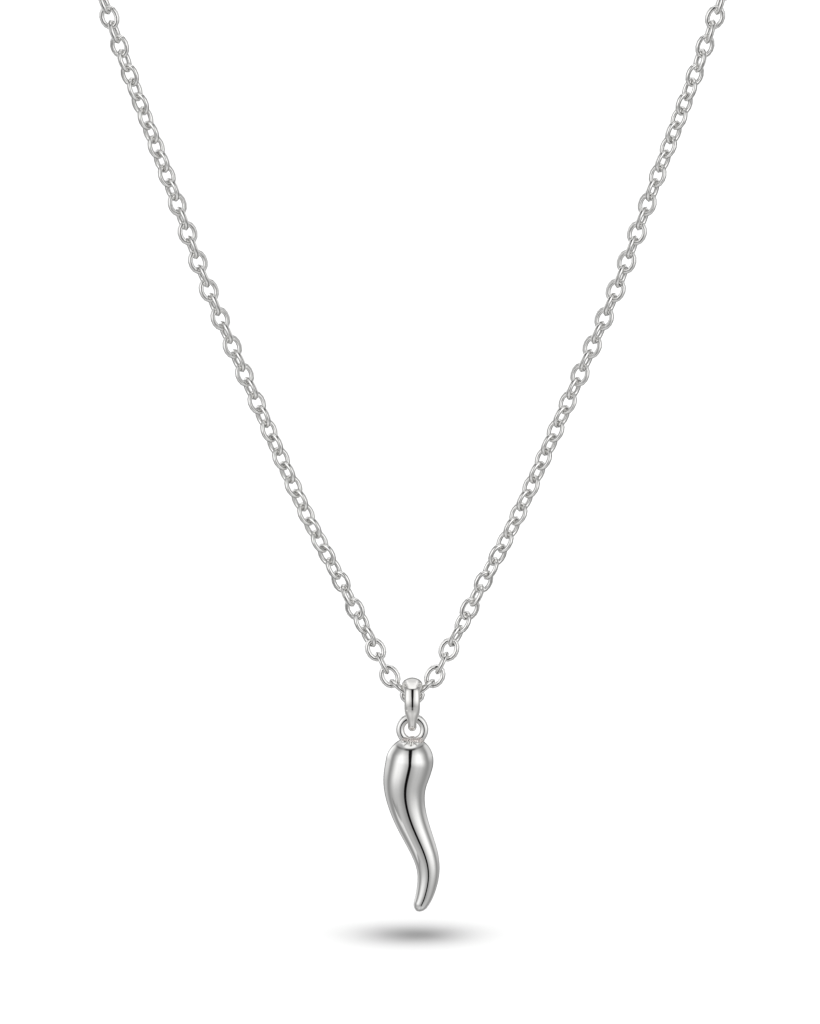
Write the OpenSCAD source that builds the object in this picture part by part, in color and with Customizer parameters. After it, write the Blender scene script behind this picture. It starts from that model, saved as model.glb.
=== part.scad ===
// Cornicello horn pendant on a cable chain, as it hangs when worn.
// The origin is the middle of the clasp at the nape. +Z is up, -Y is the wearer's front.

/* [Horn] */
// Length of the horn along a plumb line, from the top of its dome to its tip
horn_l = 20.9; // [16:0.1:26]
// Widest width of the horn, across its dome
horn_w = 5.65; // [4.6:0.05:6.6]
// Height of the domed top above the widest section
dome_h = 3.1; // [2.2:0.1:4]
// Radius of the blunt tip
tip_r = 0.75; // [0.6:0.05:0.9]

/* [Eye ring] */
// Inside diameter of the eye ring
eye_hole_d = 1.88; // [1.7:0.02:2.2]
// Diameter of the eye ring's round wire
eye_wire_d = 0.98; // [0.8:0.02:1.1]
// Diameter of one drop in the bead of solder at the ring's foot
solder_d = 0.9; // [0.8:0.05:1.2]

/* [Bail] */
// Height of the bail over all
bail_h = 6.4; // [6:0.05:7.2]
// Width of the bail over its arch
bail_w = 2.36; // [2:0.02:2.5]
// Thickness of the bail at the top of its arch
bail_t = 0.76; // [0.6:0.02:0.9]
// Inside radius of the bail's arch, seen from the side
arch_r = 1.48; // [1.4:0.02:1.6]
// Level stretch over the top of the bail's arch, from front to back
arch_flat = 0.5; // [0.4:0.05:0.7]
// Diameter of the round foot of the bail, which holds the eye ring
foot_d = 1.02; // [0.8:0.02:1.1]

/* [Chain] */
// Length of a link over its wire
link_l = 2.98; // [2.8:0.02:3.2]
// Width of a link over its wire
link_w = 2.32; // [2.2:0.02:2.5]
// Diameter of the link's wire
wire_d = 0.5; // [0.4:0.02:0.54]

/* [Clasp] */
// Length of the clasp over its two eyes
clasp_l = 9; // [8:0.1:12]
// Diameter of the clasp's barrel
clasp_d = 2.4; // [2:0.1:3]
// Diameter of the wire of the clasp's eyes
clasp_wire_d = 0.6; // [0.5:0.02:0.7]
// Inside diameter of the clasp's eyes
clasp_eye_d = 1.2; // [1:0.05:1.4]

/* [Clearances] */
// Clear gap between two hooked links, and between a link and the clasp's eye
link_gap = 0.15; // [0.14:0.01:0.2]
// Clear gap between the bail and the link that it hangs on, and the ring that hangs in it
hang_gap = 0.11; // [0.11:0.01:0.15]

/* [Hidden] */

// Depth of the hanging front of the chain before the nape, and its drop below the nape
front_y = -87;
front_z = -121;

// The right half of the chain: [x, y, z] of its few chosen points, from the centre link to the
// clasp. The last point, at the clasp's eye, is added below.
ROUTE = [
    [0.8, front_y, -120.7],
    [2.2, front_y, -119.6],
    [4.3, front_y, -115.7],
    [8.3, front_y, -107.8],
    [12.4, front_y, -99.8],
    [18.3, front_y, -86.4],
    [24.1, front_y, -72.8],
    [29.2, front_y, -58.7],
    [33.5, front_y, -47],
    [37, front_y, -37],
    [40.5, -85, -28],
    [44.5, -77, -18.5],
    [48, -62, -10],
    [48, -42, -5],
    [42, -22, -2],
    [29, -7, 0],
    [15, -1, 0]
];

// How the strand is twisted: [number of the link from the centre, turn in degrees]
TWIST = [[0, 0], [4, 3], [5, 28], [7, 68], [10, 57], [13, 42], [20, 40], [24, 27], [34, 20],
         [38, 36], [42, 47], [46, 64], [49, 78], [70, 60], [90, 90], [121, 90]];

// Sections of the horn: [share of its length down from the dome's top,
// middle's shift to +X as a share of its width, radius as a share of its width]
HORN = [
    [0, 0.02, 0.5],
    [0.15, -0.063, 0.502],
    [0.25, -0.145, 0.468],
    [0.36, -0.134, 0.404],
    [0.475, -0.022, 0.347],
    [0.59, 0.151, 0.3],
    [0.7, 0.3, 0.263],
    [0.79, 0.34, 0.231],
    [0.88, 0.29, 0.197],
    [0.95, 0.2, 0.162],
    [1, 0.09, 0.12]
];

// Sections of the bail up one leg: [share of the way from the foot to the top of the arch,
// half its width as a share of the bail's half width, how far its section has turned from the
// round foot into the domed strip of the arch]
BAIL = [
    [0, 0.432, 0],
    [0.09, 0.5, 0.05],
    [0.2, 0.62, 0.15],
    [0.36, 0.77, 0.35],
    [0.64, 0.78, 0.7],
    [0.7, 0.86, 0.8],
    [0.76, 0.98, 0.9],
    [0.88, 1, 1],
    [1, 1, 1]
];

// Drops of solder round the eye ring's foot: [degrees about the ring's foot from +X,
// distance from the foot's middle as a share of the eye ring's middle radius, rise]
SOLDER = [
    [5, 0.7, -0.02],
    [176, 0.72, 0],
    [212, 0.7, -0.06],
    [240, 0.64, -0.1],
    [268, 0.62, -0.06],
    [298, 0.66, -0.11],
    [328, 0.7, -0.05],
    [48, 0.66, -0.08],
    [90, 0.6, -0.06],
    [132, 0.66, -0.08]
];

route_parts = 24;
horn_sides = 32;
horn_rings = 56;
bail_sides = 20;
bail_rings = 96;
round_fn = 48;

// Share of the bail's thickness that lies inside its widest line
inner_part = 0.2;

link_rise = (link_w - wire_d) / 2;
link_side_l = link_l - link_w;
pitch = link_l - 2 * wire_d - link_gap;
hook = link_l - wire_d - pitch;

foot_r = eye_wire_d / 2 + hang_gap;
arch_inner_top = front_z + link_rise + wire_d / 2 + hang_gap;
bail_inner_h = bail_h - bail_t - foot_d;
foot_z = arch_inner_top - bail_inner_h + foot_r;
arch_z = arch_inner_top - arch_r;
arch_y = arch_flat / 2;
arch_way = norm([arch_y, arch_z - foot_z]);
leg_lean = asin((arch_r - foot_r) / arch_way) + atan(arch_y / (arch_z - foot_z));
leg_l = sqrt(pow(arch_way, 2) - pow(arch_r - foot_r, 2));
foot_way = foot_r * (90 - leg_lean) * PI / 180;
half_way = foot_way + leg_l + arch_r * (90 + leg_lean) * PI / 180 + arch_y;

eye_r = (eye_hole_d + eye_wire_d) / 2;
eye_z = foot_z - eye_r;
horn_top_z = eye_z - eye_hole_d / 2;

clasp_eye_r = (clasp_eye_d + clasp_wire_d) / 2;
clasp_eye_x = clasp_l / 2 - clasp_wire_d / 2 - clasp_eye_r;
clasp_join_x = clasp_l / 2 - clasp_wire_d - wire_d / 2 - link_gap + hook / 2;

// Smooth curve through the rows of a table, whose first column always grows
function slope(rows, i, col) =
    let (low = max(i - 1, 0), high = min(i + 1, len(rows) - 1))
    (rows[high][col] - rows[low][col]) / (rows[high][0] - rows[low][0]);
function row_below(rows, x, i = 0) =
    i >= len(rows) - 2 || x < rows[i + 1][0] ? i : row_below(rows, x, i + 1);
function smooth(rows, x, col) =
    let (i = row_below(rows, x), span = rows[i + 1][0] - rows[i][0], t = (x - rows[i][0]) / span)
    (2 * pow(t, 3) - 3 * pow(t, 2) + 1) * rows[i][col]
    + (pow(t, 3) - 2 * pow(t, 2) + t) * span * slope(rows, i, col)
    + (3 * pow(t, 2) - 2 * pow(t, 3)) * rows[i + 1][col]
    + (pow(t, 3) - pow(t, 2)) * span * slope(rows, i + 1, col);

function unit(v) = v / norm(v);
function square_to(v, along) = unit(v - (v * along) * along);

// Points with the length of the way up to each of them in front
function measured(points) =
    [for (i = 0, way = 0; i < len(points);
          way = way + (i + 1 < len(points) ? norm(points[i + 1] - points[i]) : 0), i = i + 1)
        concat([way], points[i])];

// Two triangles between each ring of points and the next; the last ring may meet the first
function walls(spans, rings, sides) =
    [for (k = [0 : spans - 1], j = [0 : sides - 1], lower = [0, 1])
        let (a = k * sides + j,
             b = k * sides + (j + 1) % sides,
             c = (k + 1) % rings * sides + j,
             d = (k + 1) % rings * sides + (j + 1) % sides)
        lower == 0 ? [a, b, c] : [b, d, c]];
function end_caps(rings, sides) =
    [[for (j = [sides - 1 : -1 : 0]) j], [for (j = [0 : sides - 1]) (rings - 1) * sides + j]];

module link_end() {
    translate([link_side_l / 2, 0, 0]) rotate([0, 0, -90])
        rotate_extrude(angle = 180, $fn = round_fn) translate([link_rise, 0]) circle(d = wire_d);
}

module link_side() {
    translate([-link_side_l / 2, link_rise, 0]) rotate([0, 90, 0])
        cylinder(h = link_side_l, d = wire_d, $fn = round_fn);
}

// An oval of round wire: two half rings, joined by two straight sides
module link() {
    link_end();
    rotate([0, 0, 180]) link_end();
    link_side();
    rotate([0, 0, 180]) link_side();
}

// A link with its length along one vector and its width along another
module placed_link(middle, along, across) {
    face = cross(along, across);
    multmatrix([
        [along.x, across.x, face.x, middle.x],
        [along.y, across.y, face.y, middle.y],
        [along.z, across.z, face.z, middle.z],
        [0, 0, 0, 1]
    ]) link();
}

// The right strand: joints a step apart on the smooth route, and one link between each two
corners = measured(concat(ROUTE, [[clasp_join_x, 0, 0]]));
route_l = corners[len(corners) - 1][0];
route_n = route_parts * (len(corners) - 1);
trail = measured([for (k = [0 : route_n])
    [for (col = [1 : 3]) smooth(corners, route_l * k / route_n, col)]]);
trail_l = trail[route_n][0];
links = round(trail_l / pitch);
joints = [for (i = [0 : links])
    [for (col = [1 : 3]) lookup(trail_l * i / links, [for (row = trail) [row[0], row[col]]])]];
alongs = [for (i = [0 : links - 1]) unit(joints[i + 1] - joints[i])];
faces = [for (i = 0, face = [0, -1, 0]; i < links;
              i = i + 1, face = i < links ? square_to(face, alongs[i]) : face) face];
acrosses = [for (i = [0 : links - 1])
    let (turn = 90 * (i + 1) + smooth(TWIST, i + 1, 1))
    unit(cross(alongs[i], faces[i]) * cos(turn) + faces[i] * sin(turn))];
last_across = acrosses[links - 1];
clasp_turn = 90 + atan2(last_across.z, last_across.y);

module strand() {
    for (i = [0 : links - 1])
        placed_link((joints[i] + joints[i + 1]) / 2, alongs[i], acrosses[i]);
}

module chain_right() {
    color("gainsboro") strand();
}

module chain_left() {
    color("gainsboro") {
        mirror([1, 0, 0]) strand();
        placed_link([0, front_y, front_z], [1, 0, 0], [0, 0, 1]);
    }
}

// A plain barrel with a ring eye let into each end
module clasp() {
    barrel_end = clasp_eye_x - clasp_eye_d / 2;
    color("silver") rotate([clasp_turn, 0, 0]) {
        rotate([0, 90, 0]) rotate_extrude($fn = round_fn) {
            translate([0, -barrel_end + clasp_d / 4])
                square([clasp_d / 2, 2 * barrel_end - clasp_d / 2]);
            for (end = [-1, 1])
                intersection() {
                    translate([clasp_d / 4, end * (barrel_end - clasp_d / 4)]) circle(r = clasp_d / 4);
                    translate([0, -2 * clasp_l]) square(4 * clasp_l);
                }
            translate([0, -barrel_end]) square([clasp_d / 4, 2 * barrel_end]);
        }
        for (side = [-1, 1])
            translate([side * clasp_eye_x, 0, 0])
                rotate_extrude($fn = round_fn)
                    translate([clasp_eye_r, 0]) circle(d = clasp_wire_d);
    }
}

// Inner line of the bail round its whole loop, at a share of the way from the foot's lowest
// point, up one leg, over the arch and down the other: [y, z, outward y, outward z]
function bail_line(share) =
    let (way = min(share, 1 - share) * 2 * half_way,
         side = share < 0.5 ? -1 : 1,
         up = max(min(way - foot_way, leg_l), 0),
         over = max(way - foot_way - leg_l, 0),
         level = max(way - half_way + arch_y, 0),
         turn = way < foot_way ? -90 + way / foot_r * 180 / PI
             : min(-leg_lean + over / arch_r * 180 / PI, 90),
         y = over == 0 ? foot_r * cos(turn) + up * sin(leg_lean)
             : arch_y + arch_r * cos(turn) - level,
         z = over == 0 ? foot_z + foot_r * sin(turn) + up * cos(leg_lean)
             : arch_z + arch_r * sin(turn))
    [side * y, z, side * cos(turn), sin(turn)];

// One section of the bail: an oval as wide as the table says, fuller on its outer face
function bail_section(share) =
    let (line = bail_line(share),
         way = (min(share, 1 - share) * 2 * half_way - foot_way) / (half_way - foot_way),
         half_w = smooth(BAIL, max(way, 0), 1) * bail_w / 2,
         domed = smooth(BAIL, max(way, 0), 2),
         inner_t = foot_d / 2 * (1 - domed) + bail_t * inner_part * domed,
         outer_t = foot_d / 2 * (1 - domed) + bail_t * (1 - inner_part) * domed)
    [for (j = [0 : bail_sides - 1])
        let (turn = 360 * j / bail_sides,
             out = inner_t + sin(turn) * (sin(turn) > 0 ? outer_t : inner_t))
        [half_w * cos(turn), front_y + line[0] + out * line[2], line[1] + out * line[3]]];

module bail() {
    color("silver")
        polyhedron(
            [for (k = [0 : bail_rings - 1]) each bail_section(k / bail_rings)],
            walls(bail_rings, bail_rings, bail_sides), convexity = 4);
}

// Middle of the horn at a share of its length: [x, z]
function horn_middle(share) =
    [smooth(HORN, share, 1) * horn_w, horn_top_z - share * horn_l];

// Radius of the horn at a share of its length, rounded off at the dome and at the tip
function horn_radius(share) =
    let (from_top = share * horn_l / dome_h, from_tip = (1 - share) * horn_l / tip_r)
    smooth(HORN, share, 2) * horn_w
    * (from_top < 1 ? sqrt(1 - pow(1 - from_top, 2)) : 1)
    * (from_tip < 1 ? sqrt(1 - pow(1 - from_tip, 2)) : 1);

module horn_body() {
    shares = [for (k = [1 : horn_rings]) (1 - cos(180 * k / (horn_rings + 1))) / 2];
    near = 0.01;
    polyhedron(
        [for (share = shares)
            let (middle = horn_middle(share), r = horn_radius(share),
                 down = unit(horn_middle(share + near) - horn_middle(share - near)))
            for (j = [0 : horn_sides - 1])
                let (turn = 360 * j / horn_sides)
                [middle.x + r * cos(turn) * -down.y, front_y + r * sin(turn),
                 middle.y + r * cos(turn) * down.x]],
        concat(walls(horn_rings - 1, horn_rings, horn_sides), end_caps(horn_rings, horn_sides)),
        convexity = 4);
}

module horn() {
    color("silver") {
        horn_body();
        translate([0, front_y, eye_z]) rotate([90, 0, 0])
            rotate_extrude($fn = round_fn) translate([eye_r, 0]) circle(d = eye_wire_d);
        for (drop = SOLDER)
            translate([eye_r * drop[1] * cos(drop[0]), front_y + eye_r * drop[1] * sin(drop[0]),
                       horn_top_z - solder_d / 3 + eye_r * drop[2]])
                sphere(d = solder_d, $fn = round_fn);
    }
}

chain_left();
chain_right();
clasp();
bail();
horn();
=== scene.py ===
import math

import bmesh
import bpy
import numpy as np
from mathutils import Matrix, Vector, noise


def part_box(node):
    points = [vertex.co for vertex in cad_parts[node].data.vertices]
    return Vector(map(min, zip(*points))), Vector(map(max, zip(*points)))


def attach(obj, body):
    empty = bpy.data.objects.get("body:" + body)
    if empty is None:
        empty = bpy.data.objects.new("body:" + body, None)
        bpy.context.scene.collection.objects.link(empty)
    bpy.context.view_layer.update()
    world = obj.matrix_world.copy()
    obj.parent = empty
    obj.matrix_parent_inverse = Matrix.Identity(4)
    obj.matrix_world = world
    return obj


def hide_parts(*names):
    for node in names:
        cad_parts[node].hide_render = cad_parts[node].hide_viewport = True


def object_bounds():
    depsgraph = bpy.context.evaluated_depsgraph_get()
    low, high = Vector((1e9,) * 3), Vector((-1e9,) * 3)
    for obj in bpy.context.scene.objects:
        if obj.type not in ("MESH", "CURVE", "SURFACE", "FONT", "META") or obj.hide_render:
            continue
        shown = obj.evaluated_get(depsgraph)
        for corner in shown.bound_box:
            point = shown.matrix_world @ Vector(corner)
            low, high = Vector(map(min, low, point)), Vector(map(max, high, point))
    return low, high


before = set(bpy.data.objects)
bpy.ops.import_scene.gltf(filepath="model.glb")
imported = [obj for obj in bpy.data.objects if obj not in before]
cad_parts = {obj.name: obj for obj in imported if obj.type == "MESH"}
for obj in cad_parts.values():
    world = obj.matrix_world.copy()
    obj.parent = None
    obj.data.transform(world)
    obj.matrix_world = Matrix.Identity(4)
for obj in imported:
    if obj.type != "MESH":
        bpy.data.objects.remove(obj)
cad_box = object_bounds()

MM = 0.001
LINK_LENGTH = 3.02 * MM
LINK_WIDTH = 2.42 * MM
LINK_WIRE = 0.6 * MM
LINK_PARTS = 14
LINK_WIRE_SIDES = 6
LINK_SWAY = 2.5
# Links lower than this hang next to the bail. They don't sway, so that the bail can swing
CALM_BELOW = -117 * MM
LINK_SEED = 7
# How far a painted dark reflection line on a wire reaches to each side, as a share of the wire's
# radius: it is full up to the first and gone from the second
LINE_FROM, LINE_TO = 0.06, 0.22
# The colour of the painted reflection lines on the chain's wires
REFLECTION_LINE_COLOUR = (0.13, 0.13, 0.127, 1)
# How fine the silver's marks are, in marks per metre
DRIFT_SCALE, PATCH_SCALE, FINE_SCALE = 900.0, 2600.0, 21000.0
WELD_REACH = 0.0005 * MM


class Shade:
    """One output of a shader node. Sums and products of it add Math nodes."""

    def __init__(self, tree, socket=None):
        self.tree = tree
        self.socket = socket

    def node(self, kind, settings=None, inputs=None, out=0):
        """A new node: its settings first, then a value or a Shade for each of its inputs."""
        made = self.tree.nodes.new(kind)
        for name, value in (settings or {}).items():
            setattr(made, name, value)
        for name, value in (inputs or {}).items():
            if isinstance(value, Shade):
                self.tree.links.new(value.socket, made.inputs[name])
            else:
                made.inputs[name].default_value = value
        return Shade(self.tree, made.outputs[out] if made.outputs else None)

    def maths(self, operation, *values):
        return self.node("ShaderNodeMath", {"operation": operation}, dict(enumerate(values)))

    def __add__(self, other):
        return self.maths("ADD", self, other)

    def __radd__(self, other):
        return self.maths("ADD", other, self)

    def __sub__(self, other):
        return self.maths("SUBTRACT", self, other)

    def __rsub__(self, other):
        return self.maths("SUBTRACT", other, self)

    def __mul__(self, other):
        return self.maths("MULTIPLY", self, other)

    def __rmul__(self, other):
        return self.maths("MULTIPLY", other, self)

    def __truediv__(self, other):
        return self.maths("DIVIDE", self, other)

    def __pow__(self, other):
        return self.maths("POWER", self, other)

    def noise(self, places, scale, detail=3.0, roughness=0.5):
        inputs = {"Vector": places, "Scale": scale, "Detail": detail, "Roughness": roughness}
        return self.node("ShaderNodeTexNoise", None, inputs)

    def blend(self, share, dark, light):
        """A colour between two colours."""
        inputs = {0: share, 6: dark, 7: light}
        return self.node("ShaderNodeMix", {"data_type": "RGBA"}, inputs, out=2)


def silver(name, bright, dull, gloss, haze, dent, dent_size, reflection_lines=False):
    """Polished silver: a faint drift of tone, soft hazy patches and the low waves of hand polish.

    It can also have dark lines painted along a wire, where its section crosses its own two axes:
    painted reflections that stand for the studio's dark parts seen in a round wire.
    """
    material = bpy.data.materials.new(name)
    material.use_nodes = True
    tree = material.node_tree
    tree.nodes.clear()
    start = Shade(tree)
    places = start.node("ShaderNodeTexCoord", out=3)
    drift = start.noise(places, DRIFT_SCALE, 2.0)
    patches = start.noise(places, PATCH_SCALE, 4.0, 0.6)
    fine = start.noise(places, FINE_SCALE, 3.0, 0.65)
    waves = start.noise(places, 1 / dent_size, 2.0, 0.4)
    colour = start.blend(drift * 0.7 + patches * 0.3, (*dull, 1), (*bright, 1))
    # Painted reflection: dark lines along the wire in the base colour, for the studio's dark parts
    if reflection_lines:
        section = start.node("ShaderNodeAttribute", {"attribute_name": "section"}, out=1)
        flat = start.node("ShaderNodeSeparateXYZ", None, {0: section}, out=0)
        deep = start.node("ShaderNodeSeparateXYZ", None, {0: section}, out=1)
        from_middle = (flat ** 2 + deep ** 2) ** 0.5
        off_flat, off_deep = start.maths("ABSOLUTE", flat), start.maths("ABSOLUTE", deep)
        off_line = start.maths("MINIMUM", off_flat, off_deep) / from_middle
        line = start.node("ShaderNodeMapRange", {"interpolation_type": "SMOOTHSTEP"}, {
            "Value": off_line, "From Min": LINE_FROM, "From Max": LINE_TO})
        colour = start.blend(line, REFLECTION_LINE_COLOUR, colour)
    height = waves + fine * 0.02
    bump = start.node("ShaderNodeBump", None, {"Strength": 1.0, "Distance": dent, "Height": height})
    surface = start.node("ShaderNodeBsdfPrincipled", None, {
        "Base Color": colour,
        "Metallic": 1.0,
        "Roughness": gloss + patches * haze + fine * haze * 0.4,
        "Normal": bump,
    })
    start.node("ShaderNodeOutputMaterial", None, {"Surface": surface})
    return material


# The chain's silver, with dark reflection lines painted along its wires
chain_silver = silver("chain silver", (1, 0.995, 0.981), (0.965, 0.96, 0.946), 0.02, 0.03,
                      0.012 * MM, 0.35 * MM, reflection_lines=True)


def link_places(node):
    """The middle and the turn of each loose link in a chain's CAD node."""
    mesh = bmesh.new()
    mesh.from_mesh(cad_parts[node].data)
    bmesh.ops.remove_doubles(mesh, verts=mesh.verts, dist=WELD_REACH)
    mesh.verts.ensure_lookup_table()
    seen = np.zeros(len(mesh.verts), bool)
    places = []
    for first in mesh.verts:
        if seen[first.index]:
            continue
        seen[first.index] = True
        link = [first]
        for corner in link:
            for edge in corner.link_edges:
                other = edge.other_vert(corner)
                if not seen[other.index]:
                    seen[other.index] = True
                    link.append(other)
        points = np.array([corner.co for corner in link])
        middle = (points.min(0) + points.max(0)) / 2
        spread = np.linalg.eigh(np.cov((points - middle).T))[1]
        along, across = Vector(spread[:, 2]), Vector(spread[:, 1])
        turn = Matrix((along, across, along.cross(across))).transposed()
        places.append((middle, turn.to_euler()))
    mesh.free()
    return places


def node_group(name, inputs):
    """An empty Geometry Nodes tree with these named inputs."""
    tree = bpy.data.node_groups.new(name, "GeometryNodeTree")
    tree.interface.new_socket("Geometry", in_out="INPUT", socket_type="NodeSocketGeometry")
    tree.interface.new_socket("Geometry", in_out="OUTPUT", socket_type="NodeSocketGeometry")
    for label, kind in inputs.items():
        tree.interface.new_socket(label, in_out="INPUT", socket_type="NodeSocket" + kind)
    return tree


def cable_link_tree():
    """The tree that sets a swaying oval link of round wire on each point, by its turn."""
    tree = node_group("cable links", {
        "Length": "Float", "Width": "Float", "Wire": "Float", "Parts": "Int", "Wire sides": "Int",
        "Sway": "Float", "Seed": "Int", "Material": "Material",
    })
    maker = Shade(tree)
    given = tree.nodes.new("NodeGroupInput")
    value = {socket.name: Shade(tree, socket) for socket in given.outputs}
    middle_length = value["Length"] - value["Wire"]
    circle = maker.node("GeometryNodeCurvePrimitiveCircle", None, {
        "Resolution": value["Parts"], "Radius": middle_length / 2})
    squeeze = maker.node("ShaderNodeCombineXYZ", None, {
        0: 1, 1: (value["Width"] - value["Wire"]) / middle_length, 2: 1})
    oval = maker.node("GeometryNodeTransform", None, {"Geometry": circle, "Scale": squeeze})
    wire = maker.node("GeometryNodeCurvePrimitiveCircle", None, {
        "Resolution": value["Wire sides"], "Radius": value["Wire"] / 2})
    section = maker.node("GeometryNodeInputPosition")
    wire = maker.node("GeometryNodeStoreNamedAttribute", {"data_type": "FLOAT_VECTOR"}, {
        "Geometry": wire, "Name": "section", "Value": section})
    link = maker.node("GeometryNodeCurveToMesh", None, {"Curve": oval, "Profile Curve": wire})
    link = maker.node("GeometryNodeSetShadeSmooth", None, {"Geometry": link, "Shade Smooth": True})
    turn = maker.node("GeometryNodeInputNamedAttribute", {"data_type": "FLOAT_VECTOR"}, {
        "Name": "turn"})
    sway = maker.node("FunctionNodeRandomValue", {"data_type": "FLOAT_VECTOR"}, {
        0: (-1, -1, -1), 1: (1, 1, 1), "Seed": value["Seed"]})
    share = maker.node("GeometryNodeInputNamedAttribute", {"data_type": "FLOAT"}, {
        "Name": "sway_share"})
    sway = maker.node("ShaderNodeVectorMath", {"operation": "SCALE"}, {
        0: sway, "Scale": share * value["Sway"]})
    set_links = maker.node("GeometryNodeInstanceOnPoints", None, {
        "Points": value["Geometry"], "Instance": link, "Rotation": turn})
    swayed = maker.node("GeometryNodeRotateInstances", None, {
        "Instances": set_links, "Rotation": sway, "Local Space": True})
    whole = maker.node("GeometryNodeRealizeInstances", None, {"Geometry": swayed})
    whole = maker.node("GeometryNodeSetMaterial", None, {
        "Geometry": whole, "Material": value["Material"]})
    end = tree.nodes.new("NodeGroupOutput")
    tree.links.new(whole.socket, end.inputs[0])
    return tree


def grown(name, start_mesh, tree, values):
    """The plain mesh object that a Geometry Nodes tree makes of a start mesh."""
    seed = bpy.data.objects.new(name + " start", start_mesh)
    bpy.context.scene.collection.objects.link(seed)
    modifier = seed.modifiers.new("grow", "NODES")
    modifier.node_group = tree
    for socket in tree.interface.items_tree:
        if socket.in_out == "INPUT" and socket.name in values:
            modifier[socket.identifier] = values[socket.name]
    seed.update_tag()
    shown = seed.evaluated_get(bpy.context.evaluated_depsgraph_get())
    mesh = bpy.data.meshes.new_from_object(shown)
    bpy.data.objects.remove(seed)
    piece = bpy.data.objects.new(name, mesh)
    bpy.context.scene.collection.objects.link(piece)
    return piece


link_tree = cable_link_tree()
for side in ("left", "right"):
    places = link_places("chain_" + side)
    middles = bpy.data.meshes.new("link middles " + side)
    middles.from_pydata([middle for middle, turn in places], [], [])
    turns = middles.attributes.new("turn", "FLOAT_VECTOR", "POINT")
    turns.data.foreach_set("vector", [angle for middle, turn in places for angle in turn])
    shares = middles.attributes.new("sway_share", "FLOAT", "POINT")
    shares.data.foreach_set("value", [float(middle[2] > CALM_BELOW) for middle, turn in places])
    links = grown("links_" + side, middles, link_tree, {
        "Length": LINK_LENGTH, "Width": LINK_WIDTH, "Wire": LINK_WIRE, "Parts": LINK_PARTS,
        "Wire sides": LINK_WIRE_SIDES, "Sway": math.radians(LINK_SWAY), "Seed": LINK_SEED,
        "Material": chain_silver,
    })
    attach(links, "chain")
    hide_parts("chain_" + side)

# The clasp at the nape: a plain turned barrel with an eye let into each end, which the last link
# of each strand hangs in. It is turned silver, a little softer in shine than the chain.
clasp_silver = silver("clasp silver", (0.86, 0.857, 0.845), (0.764, 0.761, 0.752), 0.28, 0.1,
                      0.006 * MM, 0.8 * MM)
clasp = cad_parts["clasp"]
clasp.data.materials.clear()
clasp.data.materials.append(clasp_silver)

# The bail: one cast loop with a domed, flared arch over the chain. It tapers down two legs to a
# round foot, which the eye ring hangs in, and it is polished to a mirror. It is the same before
# and behind.
BAIL_WIDTH = 2.36 * MM
BAIL_CROWN = 0.76 * MM
BAIL_ARCH_R = 1.48 * MM
BAIL_ARCH_FLAT = 0.5 * MM
BAIL_FOOT = 1.02 * MM
BAIL_INNER_SHARE = 0.2
BAIL_DROOP = 0.05 * MM
BAIL_RINGS = 220
HANG_GAP = 0.11 * MM
EYE_WIRE = 0.98 * MM
EYE_HOLE = 1.88 * MM
FRONT_Y = -87 * MM
# Up one leg, from the foot to the arch's top: share of the way, half width as a share of the
# bail's half width, how far the section has turned from the round foot to the domed strip, how
# much its outer face swells, and how peaked that face is across
BAIL_ROWS = (
    (0, 0.432, 0, 0, 0),
    (0.09, 0.545, 0.02, 0.1, -0.05),
    (0.2, 0.68, 0.05, 0.3, -0.15),
    (0.3, 0.765, 0.1, 0.42, -0.25),
    (0.4, 0.785, 0.17, 0.36, -0.3),
    (0.5, 0.785, 0.32, 0.15, -0.3),
    (0.6, 0.785, 0.46, 0.01, -0.35),
    (0.64, 0.795, 0.54, 0.02, -0.35),
    (0.675, 0.83, 0.63, 0.055, -0.3),
    (0.71, 0.91, 0.74, 0.02, -0.15),
    (0.75, 0.995, 0.84, 0, 0.05),
    (0.8, 1.03, 0.94, 0, 0.35),
    (0.9, 1.01, 1, 0, 0.4),
    (1, 1, 1, 0, 0.4),
)


def curve_through(rows, column):
    """A natural cubic spline through one column of a table, as a function of its first column."""
    x = np.array([row[0] for row in rows], float)
    y = np.array([row[column] for row in rows], float)
    h = np.diff(x)
    n = len(x)
    system = np.eye(n)
    known = np.zeros(n)
    for i in range(1, n - 1):
        system[i, i - 1:i + 2] = h[i - 1], 2 * (h[i - 1] + h[i]), h[i]
        known[i] = 6 * ((y[i + 1] - y[i]) / h[i] - (y[i] - y[i - 1]) / h[i - 1])
    bend = np.linalg.solve(system, known)

    def at(place):
        i = int(np.clip(np.searchsorted(x, place) - 1, 0, n - 2))
        low, high = place - x[i], x[i + 1] - place
        bent = (bend[i] * high ** 3 + bend[i + 1] * low ** 3) / (6 * h[i])
        from_low = (y[i] / h[i] - bend[i] * h[i] / 6) * high
        from_high = (y[i + 1] / h[i] - bend[i + 1] * h[i] / 6) * low
        return float(bent + from_low + from_high)

    return at


def lofted(name, rings, closed, material):
    """A smooth piece through rings of points: a closed loop, or a tube with a point at each end.

    A ring of one point closes the tube to that point.
    """
    mesh = bmesh.new()
    made = [[mesh.verts.new(point) for point in ring] for ring in rings]
    spans = len(made) if closed else len(made) - 1
    for k in range(spans):
        lower, upper = made[k], made[(k + 1) % len(made)]
        if len(lower) == 1 or len(upper) == 1:
            tip, ring = (lower[0], upper) if len(lower) == 1 else (upper[0], lower)
            for j in range(len(ring)):
                mesh.faces.new((tip, ring[j], ring[(j + 1) % len(ring)]))
        else:
            for j in range(len(lower)):
                j2 = (j + 1) % len(lower)
                mesh.faces.new((lower[j], lower[j2], upper[j2], upper[j]))
    bmesh.ops.recalc_face_normals(mesh, faces=mesh.faces)
    data = bpy.data.meshes.new(name)
    mesh.to_mesh(data)
    mesh.free()
    data.shade_smooth()
    data.materials.append(material)
    piece = bpy.data.objects.new(name, data)
    bpy.context.scene.collection.objects.link(piece)
    return piece


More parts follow.
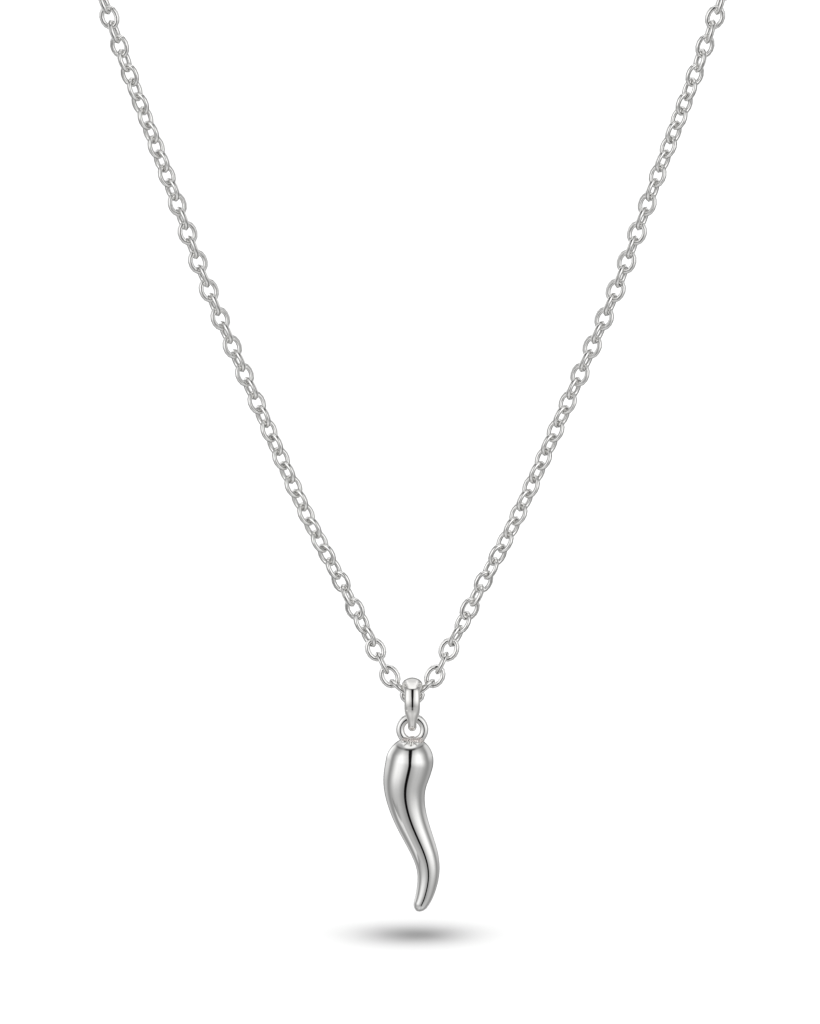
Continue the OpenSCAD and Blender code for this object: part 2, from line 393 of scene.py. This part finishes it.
bail_low, bail_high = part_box("bail")
arch_z = bail_high.z - BAIL_CROWN - BAIL_ARCH_R
foot_r = EYE_WIRE / 2 + HANG_GAP
foot_z = bail_low.z + BAIL_FOOT + foot_r
arch_y = BAIL_ARCH_FLAT / 2
arch_far = math.hypot(arch_y, arch_z - foot_z)
leg_lean = math.asin((BAIL_ARCH_R - foot_r) / arch_far) + math.atan2(arch_y, arch_z - foot_z)
leg_length = math.sqrt(arch_far ** 2 - (BAIL_ARCH_R - foot_r) ** 2)
foot_way = foot_r * (math.pi / 2 - leg_lean)
arch_way = BAIL_ARCH_R * (math.pi / 2 + leg_lean)
half_loop = foot_way + leg_length + arch_way + arch_y
bail_half_width = curve_through(BAIL_ROWS, 1)
bail_domed = curve_through(BAIL_ROWS, 2)
bail_swell = curve_through(BAIL_ROWS, 3)
bail_peak = curve_through(BAIL_ROWS, 4)


def bail_ring(share, sides=40):
    """One section across the bail, at a share of the way round its loop from the foot's low point."""
    way = min(share, 1 - share) * 2 * half_loop
    side = -1 if share < 0.5 else 1
    if way < foot_way:
        turn = -math.pi / 2 + way / foot_r
        y, z = foot_r * math.cos(turn), foot_z + foot_r * math.sin(turn)
    elif way < foot_way + leg_length:
        turn = -leg_lean
        up = way - foot_way
        y = foot_r * math.cos(turn) + up * math.sin(leg_lean)
        z = foot_z + foot_r * math.sin(turn) + up * math.cos(leg_lean)
    else:
        turn = min(math.pi / 2, -leg_lean + (way - foot_way - leg_length) / BAIL_ARCH_R)
        level = max(0, way - half_loop + arch_y)
        y, z = arch_y + BAIL_ARCH_R * math.cos(turn) - level, arch_z + BAIL_ARCH_R * math.sin(turn)
    rise = max(0, (way - foot_way) / (half_loop - foot_way))
    half_width = bail_half_width(rise) * BAIL_WIDTH / 2
    domed = bail_domed(rise)
    inner = BAIL_FOOT / 2 * (1 - domed) + BAIL_CROWN * BAIL_INNER_SHARE * domed
    outer = BAIL_FOOT / 2 * (1 - domed) + BAIL_CROWN * (1 - BAIL_INNER_SHARE) * domed
    outer *= 1 + bail_swell(rise)
    ring = []
    for j in range(sides):
        around = 2 * math.pi * j / sides
        lift = math.sin(around)
        out = inner + (outer * lift ** (1 + bail_peak(rise)) if lift > 0 else inner * lift)
        out -= BAIL_DROOP * domed * math.cos(around) ** 2
        ring.append((half_width * math.cos(around), FRONT_Y + side * (y + out * math.cos(turn)),
                     z + out * math.sin(turn)))
    return ring


bail_silver = silver("bail silver", (0.924, 0.915, 0.893), (0.866, 0.858, 0.837), 0.03, 0.04,
                     0.003 * MM, 1.1 * MM)
bail = lofted("bail_loop", [bail_ring(k / BAIL_RINGS) for k in range(BAIL_RINGS)], True, bail_silver)
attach(bail, "bail")
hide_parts("bail")

# The horn: a solid cast cornicello with a domed top and a double bend, drawn out to a blunt tip
# that points down and left. It is round in section all the way, filed and mirror polished.
HORN_WIDTH = 5.65 * MM
HORN_LENGTH = 20.9 * MM
DOME_HEIGHT = 3.1 * MM
TIP_R = 0.75 * MM
HORN_RINGS = 220
# Down the horn: share of its length, shift of its middle to +X and radius, both as shares of its
# width
HORN_ROWS = (
    (0, 0.02, 0.5),
    (0.15, -0.063, 0.502),
    (0.25, -0.145, 0.468),
    (0.36, -0.134, 0.404),
    (0.475, -0.022, 0.347),
    (0.59, 0.151, 0.3),
    (0.7, 0.3, 0.263),
    (0.79, 0.34, 0.231),
    (0.88, 0.29, 0.197),
    (0.95, 0.2, 0.162),
    (1, 0.09, 0.12),
)
eye_r = (EYE_HOLE + EYE_WIRE) / 2
eye_z = foot_z - eye_r
horn_top = eye_z - EYE_HOLE / 2
horn_shift = curve_through(HORN_ROWS, 1)
horn_width = curve_through(HORN_ROWS, 2)


def horn_ring(share, sides=96):
    """A round section of the horn, square to its middle line; a single point at either end."""
    middle = Vector((horn_shift(share) * HORN_WIDTH, FRONT_Y, horn_top - share * HORN_LENGTH))
    if share in (0, 1):
        return [middle]
    near = 0.01
    slope = (horn_shift(share + near) - horn_shift(share - near)) * HORN_WIDTH
    across = Vector((2 * near * HORN_LENGTH, 0, slope)).normalized()
    from_top = min(1, share * HORN_LENGTH / DOME_HEIGHT)
    from_tip = min(1, (1 - share) * HORN_LENGTH / TIP_R)
    radius = horn_width(share) * HORN_WIDTH
    radius *= math.sqrt(1 - (1 - from_top) ** 2) * math.sqrt(1 - (1 - from_tip) ** 2)
    return [middle + radius * math.cos(a) * across + Vector((0, radius * math.sin(a), 0))
            for a in (2 * math.pi * j / sides for j in range(sides))]


horn_silver = silver("horn silver", (0.889, 0.886, 0.876), (0.824, 0.821, 0.81), 0.025, 0.04,
                     0.004 * MM, 2.4 * MM)
horn = lofted("horn_body", [horn_ring((1 - math.cos(math.pi * k / HORN_RINGS)) / 2)
                            for k in range(HORN_RINGS + 1)], False, horn_silver)
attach(horn, "horn")
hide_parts("horn")

# The eye ring: a ring of thick round wire that stands on the dome and is soldered to it, so it
# doesn't turn. The bail's foot passes through it, and its front and back are worn a little flat.
EYE_FLATTEN = 0.65
EYE_PARTS = 96


def flatter(height):
    """A height on a round section, filled out to the front and the back."""
    return math.copysign(abs(height) ** EYE_FLATTEN, height)


def eye_section(turn, sides=40):
    """A round section of the eye ring's wire, at an angle round the ring."""
    out = Vector((math.cos(turn), 0, math.sin(turn)))
    middle = Vector((0, FRONT_Y, eye_z)) + eye_r * out
    return [middle + EYE_WIRE / 2 * (math.cos(a) * out + flatter(math.sin(a)) * Vector((0, 1, 0)))
            for a in (2 * math.pi * j / sides for j in range(sides))]


eye_ring = lofted("eye_ring", [eye_section(2 * math.pi * k / EYE_PARTS) for k in range(EYE_PARTS)],
                  True, horn_silver)
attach(eye_ring, "horn")

# The solder: a rough bead of drops that ran together round the ring's foot, left as it froze. It
# is greyer than the silver and a little warm in tone.
SOLDER_DROP = 0.9 * MM
# Round the ring's foot: degrees from +X, distance from its middle as a share of the ring's
# radius, and rise as a share of the same
SOLDER_ROWS = (
    (5, 0.7, -0.02),
    (176, 0.72, 0),
    (212, 0.7, -0.06),
    (240, 0.64, -0.1),
    (268, 0.62, -0.06),
    (298, 0.66, -0.11),
    (328, 0.7, -0.05),
    (48, 0.66, -0.08),
    (90, 0.6, -0.06),
    (132, 0.66, -0.08),
)
SOLDER_GRAIN = 0.07 * MM
SOLDER_GRAIN_SIZE = 0.28 * MM
solder_mesh = bmesh.new()
for degrees, out, rise in SOLDER_ROWS:
    turn = math.radians(degrees)
    middle = Vector((eye_r * out * math.cos(turn), FRONT_Y + eye_r * out * math.sin(turn),
                     horn_top - SOLDER_DROP / 3 + eye_r * rise))
    bmesh.ops.create_icosphere(solder_mesh, subdivisions=4, radius=SOLDER_DROP / 2,
                               matrix=Matrix.Translation(middle))
for point in solder_mesh.verts:
    point.co += point.normal * SOLDER_GRAIN * noise.noise(point.co / SOLDER_GRAIN_SIZE)
solder_silver = silver("solder silver", (0.89, 0.845, 0.82), (0.735, 0.68, 0.655), 0.05, 0.1,
                       0.05 * MM, 0.16 * MM)
solder_data = bpy.data.meshes.new("solder")
solder_mesh.to_mesh(solder_data)
solder_mesh.free()
solder_data.shade_smooth()
solder_data.materials.append(solder_silver)
solder = bpy.data.objects.new("solder", solder_data)
bpy.context.scene.collection.objects.link(solder)
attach(solder, "horn")

# The floor: a pale matt sheet, just under the horn's tip. The soft even oval of shade that the
# picture has there is a painted shadow, painted into the sheet's colour and not cast by the lamp. It
# is left out of mirror reflections, so that the silver shows the studio's panels alone.
FLOOR_DROP = 2.8 * MM
FLOOR_REACH = 20
FLOOR_PALE = (0.4, 0.4, 0.4, 1)
# The painted shadow: its darkest tone, its middle's shift to +X, and its spread across and in depth
PAINTED_SHADOW_TONE = (0.175, 0.175, 0.175, 1)
PAINTED_SHADOW_X = 0.3 * MM
PAINTED_SHADOW_WIDE, PAINTED_SHADOW_DEEP = 4.6 * MM, 6.2 * MM
floor_z = cad_box[0][2] - FLOOR_DROP
floor_data = bpy.data.meshes.new("floor")
floor_data.from_pydata([(x * FLOOR_REACH, y * FLOOR_REACH, floor_z)
                        for x, y in ((-1, -1), (1, -1), (1, 1), (-1, 1))], [], [(0, 1, 2, 3)])
floor = bpy.data.objects.new("floor", floor_data)
bpy.context.scene.collection.objects.link(floor)
floor_paint = bpy.data.materials.new("floor paint")
floor_paint.use_nodes = True
floor_paint.node_tree.nodes.clear()
paint = Shade(floor_paint.node_tree)
places = paint.node("ShaderNodeTexCoord", out=3)
# Painted shadow: a soft dark oval blended into the floor's colour, darkest under the horn
wide = (paint.node("ShaderNodeSeparateXYZ", None, {0: places}, out=0) - PAINTED_SHADOW_X) / PAINTED_SHADOW_WIDE
deep = (paint.node("ShaderNodeSeparateXYZ", None, {0: places}, out=1) - FRONT_Y) / PAINTED_SHADOW_DEEP
oval = paint.maths("EXPONENT", (wide ** 2 + deep ** 2) * -0.5)
surface = paint.node("ShaderNodeBsdfPrincipled", None, {
    "Base Color": paint.blend(oval, FLOOR_PALE, PAINTED_SHADOW_TONE),
    "Roughness": 1.0,
    "Specular IOR Level": 0.0,
})
paint.node("ShaderNodeOutputMaterial", None, {"Surface": surface})
floor_data.materials.append(floor_paint)
floor.visible_glossy = False

# The lamp over the floor: one broad soft sun. It is left out of mirror reflections too.
LAMP_POWER = 6.6
LAMP_SPREAD = math.radians(60)
lamp = bpy.data.lights.new("overhead", "SUN")
lamp.energy = LAMP_POWER
lamp.angle = LAMP_SPREAD
hung = bpy.data.objects.new("overhead", lamp)
hung.visible_glossy = False
bpy.context.scene.collection.objects.link(hung)

# The camera: level with the horn and a little above it, far off, on the middle of the frame.
VIEW_RISE = math.radians(6.5)
VIEW_FAR = 2
PIXEL = 0.12 * MM
PICTURE_WIDE, PICTURE_HIGH = 820, 1024
CHAIN_AXIS_X, CENTRE_LINK_Y = 412.2, 695
CENTRE_LINK_Z = -121 * MM
aim = Vector(((PICTURE_WIDE / 2 - CHAIN_AXIS_X) * PIXEL, FRONT_Y,
              CENTRE_LINK_Z + (CENTRE_LINK_Y - PICTURE_HIGH / 2) * PIXEL))
to_camera = Vector((0, -math.cos(VIEW_RISE), math.sin(VIEW_RISE)))
camera_data = bpy.data.cameras.new("camera")
camera_data.sensor_fit = "VERTICAL"
picture_height = PICTURE_HIGH * PIXEL * math.cos(VIEW_RISE)
camera_data.lens = camera_data.sensor_height * VIEW_FAR / picture_height
camera_data.clip_start = 0.01
camera = bpy.data.objects.new("camera", camera_data)
camera.location = aim + to_camera * VIEW_FAR
camera.rotation_euler = (math.pi / 2 - VIEW_RISE, 0, 0)
bpy.context.scene.collection.objects.link(camera)
bpy.context.scene.camera = camera

# The studio: a tent of white cloth round two broad bright panels, with a dark slit between them
# where the camera looks through, a dim seam round their sides and a dark bar over them. It is laid
# out by where a mirror ball would show each thing: its middle is 0, 0 and its rim is 1 away.
STUDIO_LEVEL = 1.12
SEAM_X, SEAM_Y, SEAM_LOW, SEAM_GROWTH = 0.765, -0.15, 0.72, 0.23
BAR_Y, BAR_BEND = 0.465, 0.5
SLIT_X, SLIT_FLARE = 0.015, 0.25
STRIP_X, STRIP_Y, STRIP_BEND = 0.5, 0.42, 2.5
# Tones: 1 is white in the picture. A gain is light that is added, a loss the share taken away
PANEL_TONE, PANEL_GAIN, PANEL_TOP_LOSS, PANEL_FOOT_GAIN = 0.5, 0.6, 0.38, 0.15
SLIT_SIDE_LOSS = 0.42
SEAM_TONE = 0.29
TENT_TONE, TENT_SIDE_GAIN, TENT_TOP_GAIN, TENT_LOW_GAIN, TENT_LEFT_GAIN = 0.4, 0.28, 0.28, 0.14, 0.14
RIM_GAIN, RIM_TOP_LOSS, RIM_LOSS = 0.36, 0.6, 0.6
CRESCENT_GAIN = 0.55
BAR_LOSS, BAR_END_LOSS = 0.8, 0.5
SLIT_LOSS, SLIT_FOOT_LOSS = 0.99, 0.14
STRIP_GAIN, STRIP_EDGE_LOSS = 0.32, 0.12
world = bpy.data.worlds.new("studio")
bpy.context.scene.world = world
world.use_nodes = True
world.node_tree.nodes.clear()
sky = Shade(world.node_tree)
way = sky.node("ShaderNodeTexCoord", out=0)
half = sky.node("ShaderNodeVectorMath", {"operation": "ADD"}, {0: way, 1: to_camera})
half = sky.node("ShaderNodeVectorMath", {"operation": "NORMALIZE"}, {0: half})
picture_up = Vector((0, math.sin(VIEW_RISE), math.cos(VIEW_RISE)))
ball_x, ball_y = (sky.node("ShaderNodeVectorMath", {"operation": "DOT_PRODUCT"}, {
    0: half, 1: picture_axis}, out=1) for picture_axis in ((1, 0, 0), picture_up))


def step(value, low, high):
    """0 below low and 1 above high, places on the ball, with a smooth rise between."""
    inputs = {"Value": value, "From Min": low, "From Max": high}
    return sky.node("ShaderNodeMapRange", {"interpolation_type": "SMOOTHSTEP"}, inputs)


# Ways across the ball
aside = sky.maths("ABSOLUTE", ball_x)
left = 0 - ball_x
down = 0 - ball_y
outward = (ball_x ** 2 + ball_y ** 2) ** 0.5
tall = SEAM_LOW + SEAM_GROWTH * step(ball_y, 0.0, 0.3)
seam = ((aside / SEAM_X) ** 2 + ((ball_y - SEAM_Y) / tall) ** 2) ** 0.5
bar = ball_y - (aside ** 2 * BAR_BEND + BAR_Y)

# The two bright panels, darker to the slit and to the seam
panels = PANEL_TONE + PANEL_GAIN * step(ball_y, -0.33, 0.03)
panels = panels * (1 - PANEL_TOP_LOSS * step(ball_y, 0.18, 0.5))
near_slit = (1 - step(aside, 0.06, 0.36)) * (1 - step(down, 0.28, 0.4))
panels = panels * (1 - SLIT_SIDE_LOSS * near_slit)
panels = panels + PANEL_FOOT_GAIN * step(down, 0.42, 0.56) * (1 - step(aside, 0.25, 0.5))
shaded = step(seam, 0.62, 1.0)
panels = panels * (1 - shaded) + SEAM_TONE * shaded

# The white tent round them, with a brighter left rim and a bright crescent over the bar
over = step(ball_y, 0.42, 0.58) * (1 - step(aside, 0.52, 0.66))
at_side = step(ball_y, -0.1, 0.25) * (1 - step(ball_y, 0.6, 0.75)) * (1 - over)
tent = TENT_TONE + TENT_SIDE_GAIN * at_side
tent = tent + TENT_TOP_GAIN * step(ball_y, 0.66, 0.78) * (1 - step(aside, 0.4, 0.6))
tent = tent + TENT_LOW_GAIN * step(down, 0.35, 0.65) + TENT_LEFT_GAIN * step(left, 0.5, 0.9)
rim_left = step(outward, 0.86, 0.95) * step(left, 0.3, 0.5) * step(ball_y, 0.1, 0.4)
tent = tent + RIM_GAIN * rim_left * (1 - RIM_TOP_LOSS * step(ball_y, 0.5, 0.75))
crescent = step(bar, 0.045, 0.09) * (1 - step(bar, 0.16, 0.36))
crescent = crescent * (1 - step(aside - bar, 0.06, 0.26))
tent = tent + CRESCENT_GAIN * crescent

# Panels and tent put together, with the dark bar, the dark slit and the ball's dim rim
beyond = sky.maths("MAXIMUM", step(seam, 1.0, 1.16), step(bar, 0.0, 0.05))
light = panels * (1 - beyond) + tent * beyond
in_bar = step(bar, -0.06, 0.0) * (1 - step(bar, 0.025, 0.07)) * (1 - step(aside, 0.5, 0.65))
light = light * (1 - BAR_LOSS * in_bar * (1 - BAR_END_LOSS * step(aside, 0.14, 0.3)))
off_slit = sky.maths("ABSOLUTE", ball_x - SLIT_X)
off_slit = off_slit / (1 + SLIT_FLARE * step(ball_y, -0.05, 0.35))
in_slit = (1 - step(off_slit, 0.04, 0.085)) * (1 - step(down, 0.33, 0.46))
in_slit = in_slit * (1 - step(bar, -0.02, 0.03))
light = light * (1 - SLIT_LOSS * in_slit) * (1 - RIM_LOSS * step(outward, 0.945, 0.985))
light = light * (1 - SLIT_FOOT_LOSS * step(down, 0.35, 0.45) * (1 - step(off_slit, 0.03, 0.16)))

# The bright strip low on the left, with a darker edge over it
off_strip = down + (left - STRIP_X) ** 2 * STRIP_BEND - STRIP_Y
in_strip = step(off_strip, -0.05, -0.035) * (1 - step(off_strip, 0.0, 0.03))
edge = step(off_strip, -0.1, -0.085) * (1 - step(off_strip, -0.055, -0.04))
strip_reach = step(left, 0.4, 0.46) * (1 - step(left, 0.6, 0.65))
light = light + (STRIP_GAIN * in_strip - STRIP_EDGE_LOSS * edge) * strip_reach

# The camera itself sees plain white behind the object
light = light * STUDIO_LEVEL
seen = sky.node("ShaderNodeLightPath", out=0)
light = light * (1 - seen) + seen
glow = sky.node("ShaderNodeBackground", None, {"Color": (1, 1, 1, 1), "Strength": light})
sky.node("ShaderNodeOutputWorld", None, {"Surface": glow})

bpy.context.scene.view_settings.view_transform = "Standard"
